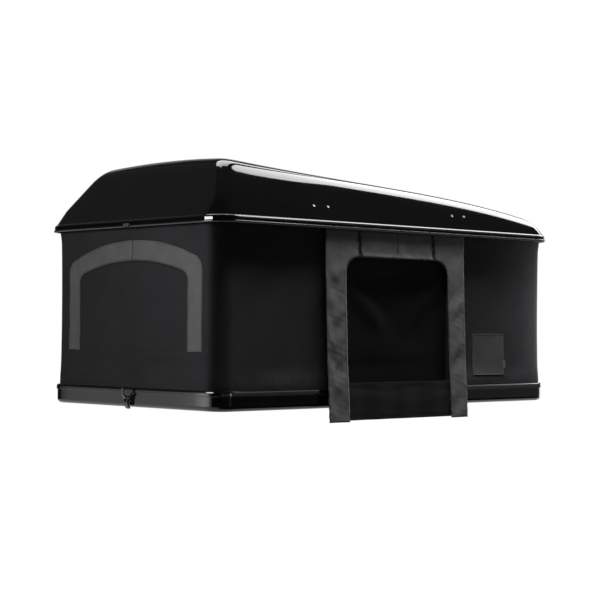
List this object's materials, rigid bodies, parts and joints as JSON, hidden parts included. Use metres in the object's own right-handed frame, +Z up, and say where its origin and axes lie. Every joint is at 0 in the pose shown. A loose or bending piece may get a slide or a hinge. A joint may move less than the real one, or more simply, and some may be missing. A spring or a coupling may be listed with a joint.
{
  "type": "roof top tent",
  "caption": "Hard-shell roof top tent with a domed roof that lifts straight up on scissor arms, fabric walls, arched windows, hanging door curtains and rails for a vehicle's roof bars.",
  "frame": {"origin": "middle of the four mounting holes, on the underside of the mounting rails", "axes": "+X along the tent towards the low end of its roof, the pictured door faces -Y, +Z up"},
  "size_m": [2.1822, 1.2761, 1.1342],
  "materials": {
    "roof_gloss": "polished black",
    "tray_gloss": "polished black",
    "wall_cloth": "coated black canvas",
    "panel_cloth": "thin coated black",
    "patch_cloth": "smooth grey",
    "grey_cloth": "woven dark grey",
    "skirt_cloth": "shiny coated black",
    "webbing": "woven webbing",
    "mattress_cloth": "knitted grey",
    "plywood": "sanded",
    "seal_rubber": "matt",
    "nylon": "moulded",
    "black_steel": "black powder coat",
    "steel": "bright",
    "aluminium": "satin anodised",
    "black_aluminium": "black"
  },
  "bodies": {
    "base": {"base_tray": "tray_gloss", "floor_board": "plywood", "mattress": "mattress_cloth", "near_mount_rail": "aluminium", "far_mount_rail": "aluminium", "lower_wall_rail": "black_aluminium", "tent_wall": "wall_cloth", "near_door_panel": "panel_cloth", "far_door_panel": "panel_cloth", "tall_window_panel": "wall_cloth", "low_window_panel": "wall_cloth", "tall_window_hood": "grey_cloth", "low_window_hood": "grey_cloth", "wall_patch": "patch_cloth", "tall_base_track": "aluminium", "low_base_track": "aluminium", "foot_pins": "steel", "tall_latch_plate": "black_steel", "low_latch_plate": "black_steel", "latch_pins": "steel"},
    "roof": {"roof_shell": "roof_gloss", "roof_frame": "aluminium", "roof_seal": "seal_rubber", "tall_brace": "aluminium", "low_brace": "aluminium", "roof_screws": "steel", "tall_keeper": "black_steel", "low_keeper": "black_steel", "tall_roof_track": "aluminium", "low_roof_track": "aluminium", "near_curtain_rail": "black_aluminium", "far_curtain_rail": "black_aluminium"},
    "tall_outer": {"tall_arm_outer": "black_steel", "tall_outer_pins": "steel", "tall_outer_glide": "nylon"},
    "tall_inner": {"tall_arm_inner": "black_steel", "tall_inner_pins": "steel", "tall_inner_glide": "nylon"},
    "tall_cylinder": {"tall_gas_cylinder": "black_steel"},
    "tall_rod": {"tall_gas_rod": "steel"},
    "tall_claw": {"tall_latch_claw": "black_steel"},
    "tall_lever": {"tall_latch_lever": "black_steel"},
    "low_outer": {"low_arm_outer": "black_steel", "low_outer_pins": "steel", "low_outer_glide": "nylon"},
    "low_inner": {"low_arm_inner": "black_steel", "low_inner_pins": "steel", "low_inner_glide": "nylon"},
    "low_cylinder": {"low_gas_cylinder": "black_steel"},
    "low_rod": {"low_gas_rod": "steel"},
    "low_claw": {"low_latch_claw": "black_steel"},
    "low_lever": {"low_latch_lever": "black_steel"},
    "near_curtain": {"near_door_curtain": "grey_cloth", "near_door_skirt": "skirt_cloth", "near_door_straps": "webbing"},
    "far_curtain": {"far_door_curtain": "grey_cloth", "far_door_skirt": "skirt_cloth", "far_door_straps": "webbing"}
  },
  "joints": [
    {"name": "roof_lift", "type": "slide", "parent": "base", "child": "roof", "axis": [0, 0, 1], "range_m": [-0.698, 0], "stiffness_N_per_m": 62, "springref_m": 4.5, "deforming": ["tent_wall", "near_door_panel", "far_door_panel", "tall_window_panel", "low_window_panel", "tall_window_hood", "low_window_hood", "wall_patch", "near_door_curtain", "near_door_skirt", "near_door_straps", "far_door_curtain", "far_door_skirt", "far_door_straps"]},
    {"name": "tall_outer_swing", "type": "hinge", "parent": "base", "child": "tall_outer", "pos_m": [-1, -0.5005, 0.0343], "axis": [1, 0, 0], "range_deg": [-45.36, 0.05]},
    {"name": "tall_cross_swing", "type": "hinge", "parent": "tall_outer", "child": "tall_inner", "pos_m": [-0.962, -0.16487, 0.4063], "axis": [1, 0, 0], "range_deg": [-0.05, 90.72]},
    {"name": "tall_cylinder_swing", "type": "hinge", "parent": "tall_outer", "child": "tall_cylinder", "pos_m": [-0.981, -0.43016, 0.11226], "axis": [1, 0, 0], "range_deg": [-0.05, 45.36]},
    {"name": "tall_rod_swing", "type": "hinge", "parent": "tall_inner", "child": "tall_rod", "pos_m": [-0.981, 0.10042, 0.11226], "axis": [1, 0, 0], "range_deg": [-45.36, 0.05]},
    {"name": "tall_claw_tip", "type": "hinge", "parent": "base", "child": "tall_claw", "pos_m": [-1.0665, 0, 0.052], "axis": [0, 1, 0], "range_deg": [0, 7]},
    {"name": "tall_lever_swing", "type": "hinge", "parent": "base", "child": "tall_lever", "pos_m": [-1.0665, 0, 0.052], "axis": [0, 1, 0], "range_deg": [0, 75]},
    {"name": "low_outer_swing", "type": "hinge", "parent": "base", "child": "low_outer", "pos_m": [1, -0.5005, 0.0343], "axis": [1, 0, 0], "range_deg": [-45.36, 0.05]},
    {"name": "low_cross_swing", "type": "hinge", "parent": "low_outer", "child": "low_inner", "pos_m": [0.962, -0.16487, 0.4063], "axis": [1, 0, 0], "range_deg": [-0.05, 90.72]},
    {"name": "low_cylinder_swing", "type": "hinge", "parent": "low_outer", "child": "low_cylinder", "pos_m": [0.981, -0.43016, 0.11226], "axis": [1, 0, 0], "range_deg": [-0.05, 45.36]},
    {"name": "low_rod_swing", "type": "hinge", "parent": "low_inner", "child": "low_rod", "pos_m": [0.981, 0.10042, 0.11226], "axis": [1, 0, 0], "range_deg": [-45.36, 0.05]},
    {"name": "low_claw_tip", "type": "hinge", "parent": "base", "child": "low_claw", "pos_m": [1.0665, 0, 0.052], "axis": [0, -1, 0], "range_deg": [0, 7]},
    {"name": "low_lever_swing", "type": "hinge", "parent": "base", "child": "low_lever", "pos_m": [1.0665, 0, 0.052], "axis": [0, -1, 0], "range_deg": [0, 75]},
    {"name": "near_curtain_lift", "type": "hinge", "parent": "roof", "child": "near_curtain", "pos_m": [-0.022, -0.6075, 0.785], "axis": [-1, 0, 0], "range_deg": [0, 90]},
    {"name": "far_curtain_lift", "type": "hinge", "parent": "roof", "child": "far_curtain", "pos_m": [-0.022, 0.6075, 0.785], "axis": [1, 0, 0], "range_deg": [0, 90]}
  ],
  "couplings": [
    {"joint": "tall_outer_swing", "follows": "roof_lift", "rad_per_m": 1.133},
    {"joint": "tall_cross_swing", "follows": "roof_lift", "rad_per_m": -2.266},
    {"joint": "tall_cylinder_swing", "follows": "roof_lift", "rad_per_m": -1.133},
    {"joint": "tall_rod_swing", "follows": "roof_lift", "rad_per_m": 1.133},
    {"joint": "low_outer_swing", "follows": "roof_lift", "rad_per_m": 1.133},
    {"joint": "low_cross_swing", "follows": "roof_lift", "rad_per_m": -2.266},
    {"joint": "low_cylinder_swing", "follows": "roof_lift", "rad_per_m": -1.133},
    {"joint": "low_rod_swing", "follows": "roof_lift", "rad_per_m": 1.133}
  ]
}
